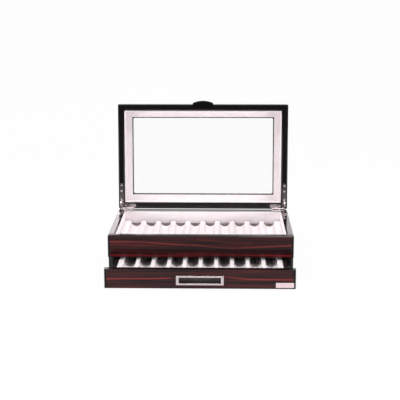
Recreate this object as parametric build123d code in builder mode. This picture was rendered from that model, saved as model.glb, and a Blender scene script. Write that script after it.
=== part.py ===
from build123d import *
from math import asin, atan2, cos, degrees, radians, sin, sqrt
import os

os.makedirs("parts", exist_ok=True)

# ---------------------------------------------------------------- driving sizes, mm
# Frame: +X to the right seen from the front, +Y to the back, +Z up. The origin lies under the middle
# of the case, on the face of the felt that rests on the table.

# case
case_w = 350.0  # outer width
case_d = 216.4  # outer depth, front panel to back panel
case_h = 84.2  # table to the rim
panel = 13.0  # thickness of the lacquered panels
felt_t = 2.0  # felt under the case
felt_inset = 1.0  # felt edge inside the case edge
floor_t = 6.0  # bottom board
shelf_t = 5.0  # board between the compartment and the drawer
shelf_z = 41.7  # underside of that board, level with the lower edge of the front panel
housing = 3.0  # depth of the grooves that take the boards' edges
housing_fit = 0.1  # play of a board in its groove
corner_r = 2.6  # rounded upright corners
rim_bevel = 2.4  # bevels along the outer and the inner edge of the rim
blank = 3.0  # waste on a mitred blank before the outside is rounded

# lid
lid_h = 28.0  # hinge line to the top of the lid
lid_open = 94.7  # how far the lid stands open, degrees from closed
lid_gap = 0.9  # shadow gap between lid and case when closed
lid_top_t = 6.0  # window frame board
lid_edge_r = 1.8  # rounded upper edges of the lid, less than the corner radius
window_side = 16.8  # board left of and right of the window, up to the rails
window_end = 16.1  # board before and behind the window
window_r = 3.0  # corner radius of the opening
rebate = 6.0  # width of the ledge that carries the glass
glass_t = 2.8  # window pane
glass_fit = 0.3  # play round the pane
border_t = 2.0  # lined frame that holds the pane in
border_back = 2.0  # how far the lined frame stands back from the opening

# linings and trays
lining_t = 2.0  # covered lining boards
lining_drop = 2.4  # rim to the top of a lining
lining_tuck = 6.5  # how far the upper linings reach below the tops of the tray's ridges
lining_fit = 0.1  # play between neighbouring boards
pens = 10  # grooves in a tray
tray_side = 7.7  # flat beside the outermost grooves, upper tray
low_tray_side = 6.2  # the same in the drawer
tray_fit = 0.3  # play of a tray in its compartment
tray_back_gap = 6.0  # space behind the upper tray
tray_h = 17.2  # upper tray, base to ridge
groove_r = 10.4
groove_deep = 11.2
ridge_r = 2.6  # rounding of the padded ridges
low_tray_h = 21.4  # drawer tray, base to ridge
low_groove_r = 11.4
low_groove_deep = 14.6
low_ridge_r = 2.2

# drawer
drawer_out = 67.7  # how far the drawer stands out
drawer_front_top = 38.1  # upper edge of the drawer front above the table
drawer_side_t = 7.0
drawer_gap = 1.0  # play between the drawer and the panels beside it
drawer_top = 37.4  # upper edge of the drawer sides
drawer_back_top = 40.6  # upper edge of the drawer back, which meets the stop
drawer_floor_t = 4.0
drawer_floor_up = 2.2  # drawer floor above the lower edge of the sides
drawer_housing = 2.5  # groove in the drawer sides for the floor
drawer_rear_gap = 3.0  # space behind the closed drawer
close_gap = 0.2  # left between closed drawer front and case
runner_w = 8.0
runner_t = 1.2
runner_gap = 0.2  # play between the drawer sides and the runners
stop_h = 3.3  # strip under the shelf that stops the drawer
stop_w = 7.0
stop_in = 38.0  # stop strip behind the front edge of the sides

# pull on the drawer front
pull_w = 87.2  # outer size of the metal frame
pull_h = 17.6
pull_z = 18.2  # middle of the frame above the table
pull_bar = 5.2  # upright bars
pull_rail = 3.4  # level bars
pull_proud = 4.0
pull_edge_r = 0.6
cup_deep = 8.0  # finger recess behind the frame
cup_wall = 1.0
cup_under = 1.4  # how far the recess reaches behind the level bars
cup_fit = 0.1
pull_screw_r = 1.2
pull_screw_head_r = 2.4
pull_screw_bite = 2.6  # length of the screw in the frame

# lift tab on the front of the lid
tab_w = 42.0
tab_end = 2.8  # straight ends of the tab
tab_proud = 7.4  # at its middle
tab_let_in = 6.0
tab_t = 10.0
tab_fit = 0.1
tab_edge_r = 1.0

# corner hinges
leaf_t = 1.8
leg_side = 54.0  # along the side rim, from the back face of the case
leg_back = 36.0  # along the back rim, from the side face of the case
barrel_r = 2.2
barrel_gap = 0.4  # space round the turning barrel
leaf_fit = 0.15  # play of a leaf in its recess
pin_r = 0.9
pin_play = 0.05  # running clearance round the pin
knuckle_start = 7.0  # from the side face of the case
knuckle_end = 7.0  # length of each outer knuckle
knuckle_mid = 10.5  # length of the middle knuckle
knuckle_play = 0.3
screw_head_r = 2.3
screw_r = 1.1
screw_l = 9.0
screw_play = 0.05
screw_side_1 = 37.0  # screws from the back face of the case
screw_side_2 = 49.0
screw_back_1 = 15.6  # screws from the side face of the case
screw_back_2 = 31.0

# curved stays through both leaves of a hinge
stay_r = 23.0  # radius of the middle line, about the hinge line
stay_w = 3.0
stay_t = 1.6
stay_head_r = 2.3
stay_play = 0.4

# ---------------------------------------------------------------- planes and derived places
side_x = case_w / 2
back_y = case_d / 2
front_y = -case_d / 2
inner_x = side_x - panel
inner_y = back_y - panel
axis_z = case_h + lid_gap / 2

floor_top = felt_t + floor_t
shelf_top = shelf_z + shelf_t

# the lid is drawn closed, on the plane through the hinge line, and is swung open at the end
lid_plane = Plane((0, back_y, axis_z))
hinge_line = Axis(lid_plane.origin, (1, 0, 0))
base_rim = lid_plane.offset(-lid_gap / 2)
lid_rim = Plane((0, back_y, axis_z + lid_gap / 2), x_dir=(-1, 0, 0), z_dir=(0, 0, -1))

leaf_edge = barrel_r + barrel_gap  # leaf edge inside the outer faces
leaf_w = panel - 2 * leaf_edge
leaf_mid = panel / 2
knuckle_l = 2 * knuckle_end + knuckle_mid + 2 * knuckle_play
knuckle_mid_at = knuckle_start + knuckle_end + knuckle_play
stay_tip = degrees(asin((lid_gap / 2 + leaf_t + stay_play + stay_head_r) / stay_r))
stay_half = lid_open / 2 + stay_tip
pocket_near = stay_r * cos(radians(stay_half)) - stay_head_r - stay_play
pocket_far = stay_r + stay_head_r + stay_play
pocket_deep = stay_r * sin(radians(stay_half)) + stay_head_r + stay_play

window_w = 2 * (inner_x - window_side)  # clear opening
window_d = 2 * (inner_y - window_end)

drawer_y = front_y - drawer_out  # outer face of the drawer front
drawer_box_y = drawer_y + panel
drawer_len = case_d - 2 * panel - drawer_rear_gap
drawer_x = inner_x - drawer_gap
drawer_in_x = drawer_x - drawer_side_t
drawer_z = floor_top + runner_t + runner_gap
drawer_floor_z = drawer_z + drawer_floor_up
drawer_end_y = drawer_box_y + drawer_len
drawer_in_len = drawer_len - drawer_side_t

cup_w = pull_w - 2 * (pull_bar - cup_wall)
cup_h = pull_h - 2 * (pull_rail - cup_under - cup_wall)
pull_screw_gap = pull_w - pull_bar + cup_wall  # from screw to screw
pull_back = Plane((0, drawer_box_y, pull_z), x_dir=(1, 0, 0), z_dir=(0, 1, 0))

screw_marks = (
    (side_x - leaf_mid, -screw_side_1),
    (side_x - leaf_mid, -screw_side_2),
    (side_x - screw_back_1, -leaf_mid),
    (side_x - screw_back_2, -leaf_mid),
)


# ---------------------------------------------------------------- shapes used more than once
def leaf_shape(rim, hand, grow, depth):
    # L-shaped plate with round ends, let into the rim
    with BuildPart() as shape:
        with BuildSketch(rim):
            with Locations((hand * (side_x - leaf_mid), -(leaf_edge + leg_side) / 2)):
                SlotOverall(leg_side - leaf_edge + 2 * grow, leaf_w + 2 * grow, rotation=90)
            with Locations((hand * (side_x - (leaf_edge + leg_back) / 2), -leaf_mid)):
                SlotOverall(leg_back - leaf_edge + 2 * grow, leaf_w + 2 * grow)
        extrude(amount=-depth)
    return shape


def hinge_cut(rim, hand):
    # everything that is routed and drilled for one hinge in one rim
    recess = leaf_shape(rim, hand, leaf_fit, leaf_t + leaf_fit)
    along = hand * rim.x_dir.X
    with BuildPart() as cut:
        add(recess.part)
        with BuildSketch(rim):
            with Locations((hand * (side_x - leaf_mid), -(pocket_near + pocket_far) / 2)):
                Rectangle(stay_t + 2 * stay_play, pocket_far - pocket_near)
        extrude(amount=-pocket_deep)
        with BuildSketch(rim):
            with Locations(*[(hand * x, y) for x, y in screw_marks]):
                Circle(screw_r + screw_play)
        extrude(amount=-screw_l - screw_play)
        with BuildSketch(rim):
            with Locations((hand * (side_x - knuckle_start - knuckle_l / 2), 0)):
                Rectangle(knuckle_l + 2 * knuckle_play, 2 * leaf_edge + leaf_fit)
        extrude(amount=-leaf_t - leaf_fit)
        with BuildSketch(Plane.YZ.offset(along * (side_x - knuckle_start + knuckle_play))):
            with Locations((back_y, axis_z)):
                Circle(leaf_edge)
        extrude(amount=-along * (knuckle_l + 2 * knuckle_play))
    return cut


def hinge_leaf(rim, hand, spans):
    # one leaf with its knuckles, slot for the stay and countersunk holes
    plate = leaf_shape(rim, hand, 0, leaf_t)
    along = hand * rim.x_dir.X
    with BuildPart() as leaf:
        add(plate.part)
        for start, length in spans:
            with BuildSketch(rim):
                with Locations((hand * (side_x - start - length / 2), -(leaf_edge + barrel_r) / 2)):
                    Rectangle(length, leaf_edge + barrel_r)
            extrude(amount=-leaf_t)
            with BuildSketch(Plane.YZ.offset(along * (side_x - start))):
                with Locations((back_y, axis_z)):
                    Circle(barrel_r)
            extrude(amount=-along * length)
            with BuildSketch(Plane.YZ.offset(along * (side_x - start))):
                with Locations((back_y, axis_z)):
                    Circle(pin_r + pin_play)
            extrude(amount=-along * length, mode=Mode.SUBTRACT)
        with BuildSketch(rim):
            with Locations((hand * (side_x - leaf_mid), -stay_r)):
                Rectangle(stay_t + 2 * stay_play, stay_w + 2 * stay_play)
        extrude(amount=-leaf_t, mode=Mode.SUBTRACT)
        with Locations(rim):
            with Locations(*[(hand * x, y, 0) for x, y in screw_marks]):
                CounterSinkHole(
                    screw_r + screw_play, screw_head_r + screw_play, depth=leaf_t * 2, counter_sink_angle=90
                )
    return leaf


def groove_shape(r, deep, round_r):
    # U-shaped groove that runs into the ridges' rounded shoulders, its mouth at the sketch origin
    rise = r - deep + round_r
    reach = sqrt((r + round_r) ** 2 - rise**2)
    lean = degrees(atan2(rise, reach))
    with BuildSketch() as groove:
        with BuildLine():
            CenterArc((-reach, -round_r), round_r, 90, lean - 90)
            CenterArc((0, r - deep), r, 180 + lean, 180 - 2 * lean)
            CenterArc((reach, -round_r), round_r, 180 - lean, lean - 90)
            Polyline((reach, 0), (reach, round_r), (-reach, round_r), (-reach, 0))
        make_face()
    return groove


def pen_tray(width, length, front, base, height, side, r, deep, round_r):
    # padded block with a row of grooves from front to back
    groove = groove_shape(r, deep, round_r)
    pitch = (width - 2 * side) / pens
    with BuildPart() as tray:
        with BuildSketch(Plane.XZ.offset(-front)):
            with Locations((0, base + height / 2)):
                Rectangle(width, height)
            with Locations((0, base + height)):
                with GridLocations(pitch, 1, pens, 1):
                    add(groove.sketch, mode=Mode.SUBTRACT)
        extrude(amount=-length)
    return tray


def board(width, length, y_start, z_start, height, x=0.0):
    # plain board by its middle in X, its front edge and its underside
    with BuildPart() as piece:
        with BuildSketch(Plane.XY.offset(z_start)):
            with Locations((x, y_start + length / 2)):
                Rectangle(width, length)
        extrude(amount=height)
    return piece


def lid_board(width, length, y_start, z_start, height, x=0.0):
    # the same for the closed lid, measured from the hinge line
    with BuildPart() as piece:
        with BuildSketch(lid_plane.offset(z_start)):
            with Locations((x, y_start + length / 2)):
                Rectangle(width, length)
        extrude(amount=height)
    return piece


# whole outer form of the case, to which the glued-up panels are rounded
with BuildPart() as case_form:
    with BuildSketch(Plane.XY.offset(felt_t)):
        Rectangle(case_w, case_d)
    extrude(amount=case_h - felt_t)
    fillet(case_form.edges().filter_by(Axis.Z), radius=corner_r)
    chamfer(case_form.faces().sort_by(Axis.Z)[-1].edges(), length=rim_bevel)

# bevel round the mouth of the upper compartment, for the front panel
with BuildPart() as mouth_bevel:
    with BuildSketch(Plane.XY.offset(case_h - rim_bevel)):
        Rectangle(2 * inner_x, 2 * inner_y)
    with BuildSketch(Plane.XY.offset(case_h + rim_bevel)):
        Rectangle(2 * inner_x + 4 * rim_bevel, 2 * inner_y + 4 * rim_bevel)
    loft()

# outer form of the lid
with BuildPart() as lid_form:
    with BuildSketch(lid_plane.offset(lid_gap / 2)):
        with Locations((0, -case_d / 2)):
            RectangleRounded(case_w, case_d, corner_r)
    extrude(amount=lid_h - lid_gap / 2)
    fillet(lid_form.faces().sort_by(Axis.Z)[-1].edges(), radius=lid_edge_r)
    chamfer(lid_form.faces().sort_by(Axis.Z)[0].edges(), length=rim_bevel)

# routed recesses for the four hinge leaves
case_cut_left = hinge_cut(base_rim, -1)
case_cut_right = hinge_cut(base_rim, 1)
lid_cut_left = hinge_cut(lid_rim, 1)
lid_cut_right = hinge_cut(lid_rim, -1)


# ---------------------------------------------------------------- case
def side_panel(hand, cut):
    # runs from behind the front panel to the mitre at the back
    with BuildPart() as side:
        with BuildSketch(Plane.XY.offset(felt_t)):
            with BuildLine():
                Polyline(
                    (hand * (side_x + blank), -inner_y),
                    (hand * inner_x, -inner_y),
                    (hand * inner_x, inner_y),
                    (hand * (side_x + blank), back_y + blank),
                    close=True,
                )
            make_face()
        extrude(amount=case_h - felt_t)
        rim_edges = side.faces().sort_by(Axis.Z)[-1].edges()
        chamfer(rim_edges.sort_by_distance((0, 0, case_h))[0], length=rim_bevel)
        add(case_form.part, mode=Mode.INTERSECT)
        add(cut.part, mode=Mode.SUBTRACT)
        # grooves for the bottom board and the shelf
        with BuildSketch(Plane.XZ.offset(inner_y)):
            with Locations((hand * inner_x, felt_t + floor_t / 2)):
                Rectangle(2 * housing, floor_t + 2 * housing_fit)
            with Locations((hand * inner_x, shelf_z + shelf_t / 2)):
                Rectangle(2 * housing, shelf_t + 2 * housing_fit)
        extrude(amount=-2 * back_y, mode=Mode.SUBTRACT)
    return side


left_side_panel = side_panel(-1, case_cut_left)
right_side_panel = side_panel(1, case_cut_right)

with BuildPart() as back_panel:
    with BuildSketch(Plane.XY.offset(felt_t)):
        with BuildLine():
            Polyline(
                (-side_x - blank, back_y + blank),
                (-inner_x, inner_y),
                (inner_x, inner_y),
                (side_x + blank, back_y + blank),
                close=True,
            )
        make_face()
    extrude(amount=case_h - felt_t)
    back_rim = back_panel.faces().sort_by(Axis.Z)[-1].edges()
    chamfer(back_rim.sort_by_distance((0, 0, case_h))[0], length=rim_bevel)
    add(case_form.part, mode=Mode.INTERSECT)
    add(case_cut_left.part, mode=Mode.SUBTRACT)
    add(case_cut_right.part, mode=Mode.SUBTRACT)
    with BuildSketch(Plane.YZ.offset(-side_x)):
        with Locations((inner_y, felt_t + floor_t / 2)):
            Rectangle(2 * housing, floor_t + 2 * housing_fit)
        with Locations((inner_y, shelf_z + shelf_t / 2)):
            Rectangle(2 * housing, shelf_t + 2 * housing_fit)
    extrude(amount=case_w, mode=Mode.SUBTRACT)

with BuildPart() as front_panel:
    with BuildSketch(Plane.XY.offset(shelf_z)):
        with Locations((0, front_y + panel / 2)):
            Rectangle(case_w, panel)
    extrude(amount=case_h - shelf_z)
    add(case_form.part, mode=Mode.INTERSECT)
    add(mouth_bevel.part, mode=Mode.SUBTRACT)

bottom_panel = board(
    2 * (inner_x + housing - housing_fit), 2 * inner_y + housing - housing_fit, -inner_y, felt_t, floor_t
)
shelf_panel = board(
    2 * (inner_x + housing - housing_fit), 2 * inner_y + housing - housing_fit, -inner_y, shelf_z, shelf_t
)
felt_base = board(
    case_w - 2 * felt_inset, inner_y + back_y - 2 * felt_inset, felt_inset - inner_y, 0, felt_t
)

with BuildPart() as drawer_runners:
    with BuildSketch(Plane.XY.offset(floor_top)):
        with GridLocations(2 * (drawer_x - drawer_side_t / 2), 1, 2, 1):
            Rectangle(runner_w, 2 * inner_y)
    extrude(amount=runner_t)

drawer_stop = board(2 * (drawer_in_x - tray_fit), stop_w, stop_in - inner_y, shelf_z - stop_h, stop_h)

# linings of the upper compartment
lining_top = case_h - lining_drop
lining_low = shelf_top + tray_h - lining_tuck
lining_h = lining_top - lining_low
upper_lining_front = board(2 * inner_x, lining_t, -inner_y, lining_low, lining_h)
upper_lining_back = board(2 * inner_x, lining_t, inner_y - lining_t, lining_low, lining_h)
lining_len = 2 * (inner_y - lining_t - lining_fit)
upper_lining_left = board(
    lining_t, lining_len, -lining_len / 2, lining_low, lining_h, x=-inner_x + lining_t / 2
)
upper_lining_right = board(
    lining_t, lining_len, -lining_len / 2, lining_low, lining_h, x=inner_x - lining_t / 2
)

tray_front = -inner_y + lining_t + tray_fit
upper_pen_tray = pen_tray(
    2 * (inner_x - lining_t - tray_fit),
    inner_y - tray_back_gap - tray_front,
    tray_front,
    shelf_top,
    tray_h,
    tray_side,
    groove_r,
    groove_deep,
    ridge_r,
)

# ---------------------------------------------------------------- hinges
base_spans = (
    (knuckle_start, knuckle_end),
    (knuckle_start + knuckle_l - knuckle_end, knuckle_end),
)
lid_spans = ((knuckle_mid_at, knuckle_mid),)
left_base_leaf = hinge_leaf(base_rim, -1, base_spans)
right_base_leaf = hinge_leaf(base_rim, 1, base_spans)
left_lid_leaf = hinge_leaf(lid_rim, 1, lid_spans)
right_lid_leaf = hinge_leaf(lid_rim, -1, lid_spans)


def hinge_pin(hand):
    with BuildPart() as pin:
        with BuildSketch(Plane.YZ.offset(hand * (side_x - knuckle_start))):
            with Locations((back_y, axis_z)):
                Circle(pin_r)
        extrude(amount=-hand * knuckle_l)
    return pin


left_hinge_pin = hinge_pin(-1)
right_hinge_pin = hinge_pin(1)

def screw_shape(head_r, shank_r, length):
    # countersunk screw, its head at the origin and its shank downwards
    with BuildPart() as screw:
        with BuildSketch(Plane.XZ):
            with BuildLine():
                Polyline(
                    (0, 0), (head_r, 0), (shank_r, shank_r - head_r), (shank_r, -length), (0, -length), close=True
                )
            make_face()
        revolve(axis=Axis.Z)
    return screw


wood_screw = screw_shape(screw_head_r, screw_r, screw_l)


def screw_group(rim):
    with BuildPart() as group:
        with Locations(rim):
            with Locations(*[(hand * x, y, 0) for hand in (-1, 1) for x, y in screw_marks]):
                add(wood_screw.part)
    return group


base_hinge_screws = screw_group(base_rim)
lid_hinge_screws = screw_group(lid_rim)


def stay(hand):
    # curved flat bar with round heads, which keep it from leaving the leaves
    tips = [180 - lid_open / 2 - stay_half, 180 - lid_open / 2 + stay_half]
    with BuildPart() as bar:
        with BuildSketch(Plane.YZ.offset(hand * (side_x - leaf_mid))):
            with BuildLine(mode=Mode.PRIVATE):
                middle = CenterArc((back_y, axis_z), stay_r, tips[0], tips[1] - tips[0])
            SlotArc(middle, stay_w)
            with Locations(
                *[(back_y + stay_r * cos(radians(a)), axis_z + stay_r * sin(radians(a))) for a in tips]
            ):
                Circle(stay_head_r)
        extrude(amount=stay_t / 2, both=True)
    return bar


left_stay = stay(-1)
right_stay = stay(1)


# ---------------------------------------------------------------- lid
def lid_rail(corners):
    # mitred wall of the lid, rounded with the whole lid
    with BuildPart() as rail:
        with BuildSketch(lid_plane.offset(lid_gap / 2)):
            with BuildLine():
                Polyline(*corners, close=True)
            make_face()
        extrude(amount=lid_h - lid_gap / 2 + blank)
        rim_edges = rail.faces().sort_by(Axis.Z)[0].edges()
        chamfer(rim_edges.sort_by_distance((0, 0, axis_z))[0], length=rim_bevel)
        add(lid_form.part, mode=Mode.INTERSECT)
    return rail


# the blanks stand proud of the lid outside and above until they are rounded
blank_x = side_x + blank
lid_outer = [
    (-blank_x, -case_d - blank),
    (blank_x, -case_d - blank),
    (blank_x, blank),
    (-blank_x, blank),
]
lid_inner = [
    (-inner_x, panel - case_d),
    (inner_x, panel - case_d),
    (inner_x, -panel),
    (-inner_x, -panel),
]
lid_front_blank = lid_rail([lid_outer[0], lid_outer[1], lid_inner[1], lid_inner[0]])
lid_right_blank = lid_rail([lid_outer[1], lid_outer[2], lid_inner[2], lid_inner[1]])
lid_back_blank = lid_rail([lid_outer[2], lid_outer[3], lid_inner[3], lid_inner[2]])
lid_left_blank = lid_rail([lid_outer[3], lid_outer[0], lid_inner[0], lid_inner[3]])

tab_rise = tab_proud - tab_end
tab_arc_r = (tab_rise**2 + (tab_w / 2) ** 2) / (2 * tab_rise)

with BuildPart() as lift_tab:
    with BuildSketch(lid_plane.offset(lid_gap / 2)):
        with BuildLine():
            Polyline(
                (-tab_w / 2, -case_d - tab_end),
                (-tab_w / 2, tab_let_in - case_d),
                (tab_w / 2, tab_let_in - case_d),
                (tab_w / 2, -case_d - tab_end),
            )
            ThreePointArc(
                (tab_w / 2, -case_d - tab_end), (0, -case_d - tab_proud), (-tab_w / 2, -case_d - tab_end)
            )
        make_face()
    extrude(amount=tab_t)
    tab_arc = lift_tab.edges().filter_by(GeomType.CIRCLE)
    fillet(tab_arc, radius=tab_edge_r)

with BuildPart() as lid_front_rail:
    add(lid_front_blank.part)
    with BuildSketch(lid_plane.offset(lid_gap / 2)):
        with Locations((0, -case_d)):
            Rectangle(tab_w + 2 * tab_fit, 2 * (tab_let_in + tab_fit))
    extrude(amount=tab_t + tab_fit, mode=Mode.SUBTRACT)

with BuildPart() as lid_back_rail:
    add(lid_back_blank.part)
    add(lid_cut_left.part, mode=Mode.SUBTRACT)
    add(lid_cut_right.part, mode=Mode.SUBTRACT)

with BuildPart() as lid_left_rail:
    add(lid_left_blank.part)
    add(lid_cut_left.part, mode=Mode.SUBTRACT)

with BuildPart() as lid_right_rail:
    add(lid_right_blank.part)
    add(lid_cut_right.part, mode=Mode.SUBTRACT)

# board between the rails with the window, rebated from inside for the glass
lid_top_z = lid_h - lid_top_t
glass_seat_z = lid_top_z + glass_t + glass_fit
with BuildPart() as lid_top_frame:
    with BuildSketch(lid_plane.offset(lid_top_z)):
        with Locations((0, -case_d / 2)):
            Rectangle(2 * inner_x, 2 * inner_y)
            RectangleRounded(window_w, window_d, window_r, mode=Mode.SUBTRACT)
    extrude(amount=lid_top_t)
    with BuildSketch(lid_plane.offset(lid_top_z)):
        with Locations((0, -case_d / 2)):
            Rectangle(window_w + 2 * rebate, window_d + 2 * rebate)
    extrude(amount=glass_seat_z - lid_top_z, mode=Mode.SUBTRACT)

glass_w = window_w + 2 * (rebate - glass_fit)
glass_d = window_d + 2 * (rebate - glass_fit)
window_pane = lid_board(glass_w, glass_d, -(case_d + glass_d) / 2, glass_seat_z - glass_t, glass_t)

with BuildPart() as window_border:
    with BuildSketch(lid_plane.offset(lid_top_z - border_t)):
        with Locations((0, -case_d / 2)):
            Rectangle(2 * (inner_x - lining_fit), 2 * (inner_y - lining_fit))
            Rectangle(window_w + 2 * border_back, window_d + 2 * border_back, mode=Mode.SUBTRACT)
    extrude(amount=border_t)

lid_lining_h = lid_top_z - border_t - lining_drop
lid_lining_front = lid_board(2 * inner_x, lining_t, panel - case_d, lining_drop, lid_lining_h)
lid_lining_back = lid_board(2 * inner_x, lining_t, -panel - lining_t, lining_drop, lid_lining_h)
lid_lining_left = lid_board(
    lining_t, lining_len, -(case_d + lining_len) / 2, lining_drop, lid_lining_h, x=-inner_x + lining_t / 2
)
lid_lining_right = lid_board(
    lining_t, lining_len, -(case_d + lining_len) / 2, lining_drop, lid_lining_h, x=inner_x - lining_t / 2
)

# ---------------------------------------------------------------- drawer
with BuildPart() as drawer_front:
    with BuildSketch(Plane.XY.offset(felt_t)):
        with Locations((0, drawer_y + panel / 2)):
            Rectangle(case_w, panel)
    extrude(amount=drawer_front_top - felt_t)
    upright = drawer_front.edges().filter_by(Axis.Z).group_by(Axis.Y)[0]
    fillet(upright, radius=corner_r)
    # mortise for the cup and holes for the pull's screws
    with BuildSketch(Plane.XZ.offset(-drawer_y)):
        with Locations((0, pull_z)):
            Rectangle(cup_w + 2 * cup_fit, cup_h + 2 * cup_fit)
    extrude(amount=-cup_deep - cup_fit, mode=Mode.SUBTRACT)
    with Locations(pull_back):
        with GridLocations(pull_screw_gap, 1, 2, 1):
            CounterSinkHole(
                pull_screw_r + screw_play, pull_screw_head_r + screw_play, depth=panel, counter_sink_angle=90
            )


def drawer_side(hand):
    with BuildPart() as side:
        with BuildSketch(Plane.XY.offset(drawer_z)):
            with Locations((hand * (drawer_x - drawer_side_t / 2), drawer_box_y + drawer_len / 2)):
                Rectangle(drawer_side_t, drawer_len)
        extrude(amount=drawer_top - drawer_z)
        with BuildSketch(Plane.XZ.offset(-drawer_box_y)):
            with Locations((hand * drawer_in_x, drawer_floor_z + drawer_floor_t / 2)):
                Rectangle(2 * drawer_housing, drawer_floor_t + 2 * housing_fit)
        extrude(amount=-drawer_len, mode=Mode.SUBTRACT)
    return side


drawer_left_side = drawer_side(-1)
drawer_right_side = drawer_side(1)
drawer_floor = board(
    2 * (drawer_in_x + drawer_housing - housing_fit),
    drawer_in_len,
    drawer_box_y,
    drawer_floor_z,
    drawer_floor_t,
)
drawer_back = board(
    2 * drawer_in_x, drawer_side_t, drawer_end_y - drawer_side_t, drawer_z, drawer_back_top - drawer_z
)
drawer_pen_tray = pen_tray(
    2 * (drawer_in_x - tray_fit),
    drawer_in_len - 2 * tray_fit,
    drawer_box_y + tray_fit,
    drawer_floor_z + drawer_floor_t,
    low_tray_h,
    low_tray_side,
    low_groove_r,
    low_groove_deep,
    low_ridge_r,
)

# pull: a metal frame on the face, a cup behind it, and screws from inside the drawer
with BuildPart() as pull_frame:
    with BuildSketch(Plane.XZ.offset(-drawer_y)):
        with Locations((0, pull_z)):
            Rectangle(pull_w, pull_h)
            Rectangle(pull_w - 2 * pull_bar, pull_h - 2 * pull_rail, mode=Mode.SUBTRACT)
    extrude(amount=pull_proud)
    fillet(pull_frame.faces().sort_by(Axis.Y)[0].edges(), radius=pull_edge_r)
    with BuildSketch(Plane.XZ.offset(-drawer_y)):
        with Locations((0, pull_z)):
            with GridLocations(pull_screw_gap, 1, 2, 1):
                Circle(pull_screw_r + screw_play)
    extrude(amount=pull_screw_bite + screw_play, mode=Mode.SUBTRACT)

with BuildPart() as pull_cup:
    with BuildSketch(Plane.XZ.offset(-drawer_y)):
        with Locations((0, pull_z)):
            Rectangle(cup_w, cup_h)
    extrude(amount=-cup_deep)
    offset(amount=-cup_wall, openings=pull_cup.faces().sort_by(Axis.Y)[0])

pull_screw = screw_shape(pull_screw_head_r, pull_screw_r, panel + pull_screw_bite)
with BuildPart() as pull_screws:
    with Locations(pull_back):
        with GridLocations(pull_screw_gap, 1, 2, 1):
            add(pull_screw.part)

# ---------------------------------------------------------------- export
def swung_open(piece):
    with BuildPart() as turned:
        add(piece.part.rotate(hinge_line, -lid_open))
    return turned


pieces = {
    "left_side_panel": left_side_panel,
    "right_side_panel": right_side_panel,
    "back_panel": back_panel,
    "front_panel": front_panel,
    "bottom_panel": bottom_panel,
    "shelf_panel": shelf_panel,
    "felt_base": felt_base,
    "drawer_runners": drawer_runners,
    "drawer_stop": drawer_stop,
    "upper_lining_front": upper_lining_front,
    "upper_lining_back": upper_lining_back,
    "upper_lining_left": upper_lining_left,
    "upper_lining_right": upper_lining_right,
    "upper_pen_tray": upper_pen_tray,
    "left_base_leaf": left_base_leaf,
    "right_base_leaf": right_base_leaf,
    "left_hinge_pin": left_hinge_pin,
    "right_hinge_pin": right_hinge_pin,
    "base_hinge_screws": base_hinge_screws,
    "left_stay": left_stay,
    "right_stay": right_stay,
    "lid_front_rail": swung_open(lid_front_rail),
    "lid_back_rail": swung_open(lid_back_rail),
    "lid_left_rail": swung_open(lid_left_rail),
    "lid_right_rail": swung_open(lid_right_rail),
    "lid_top_frame": swung_open(lid_top_frame),
    "window_pane": swung_open(window_pane),
    "window_border": swung_open(window_border),
    "lid_lining_front": swung_open(lid_lining_front),
    "lid_lining_back": swung_open(lid_lining_back),
    "lid_lining_left": swung_open(lid_lining_left),
    "lid_lining_right": swung_open(lid_lining_right),
    "left_lid_leaf": swung_open(left_lid_leaf),
    "right_lid_leaf": swung_open(right_lid_leaf),
    "lid_hinge_screws": swung_open(lid_hinge_screws),
    "lift_tab": swung_open(lift_tab),
    "drawer_front": drawer_front,
    "drawer_left_side": drawer_left_side,
    "drawer_right_side": drawer_right_side,
    "drawer_floor": drawer_floor,
    "drawer_back": drawer_back,
    "drawer_pen_tray": drawer_pen_tray,
    "pull_frame": pull_frame,
    "pull_cup": pull_cup,
    "pull_screws": pull_screws,
}
for name, piece in pieces.items():
    piece.part.label = name
    export_step(piece.part, f"parts/{name}.step")
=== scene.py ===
from math import atan2, cos, pi, radians, sin, sqrt

import bmesh
import bpy
from mathutils import Matrix, Vector


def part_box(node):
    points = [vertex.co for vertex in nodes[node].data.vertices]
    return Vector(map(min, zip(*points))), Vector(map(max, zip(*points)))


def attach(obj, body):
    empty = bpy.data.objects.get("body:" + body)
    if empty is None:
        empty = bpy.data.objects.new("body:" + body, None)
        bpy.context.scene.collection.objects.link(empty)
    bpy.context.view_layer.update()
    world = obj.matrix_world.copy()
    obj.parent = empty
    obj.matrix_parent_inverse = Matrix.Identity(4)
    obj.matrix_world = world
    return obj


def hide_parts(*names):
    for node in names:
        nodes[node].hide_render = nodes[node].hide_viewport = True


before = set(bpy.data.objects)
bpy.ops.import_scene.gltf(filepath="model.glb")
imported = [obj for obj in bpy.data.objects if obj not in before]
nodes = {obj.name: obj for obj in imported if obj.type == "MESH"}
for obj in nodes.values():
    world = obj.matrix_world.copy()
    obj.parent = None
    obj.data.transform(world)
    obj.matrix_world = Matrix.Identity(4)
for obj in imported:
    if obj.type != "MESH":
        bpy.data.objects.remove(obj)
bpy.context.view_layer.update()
scene = bpy.context.scene
scene.view_settings.view_transform = "Standard"
mm = 0.001
print("frame loaded")


# camera, at the photograph's viewing angle
cameraSet = {
    "place": (0.040738, -1.954869, 0.571041),  # metres
    "down": 0.2228,  # radians below level
    "turn": -0.0226,
    "roll": -0.0014,
    "lens": 91.74,  # mm, on a sensor 36 mm wide
    "sensor": 36.0,
}


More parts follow.
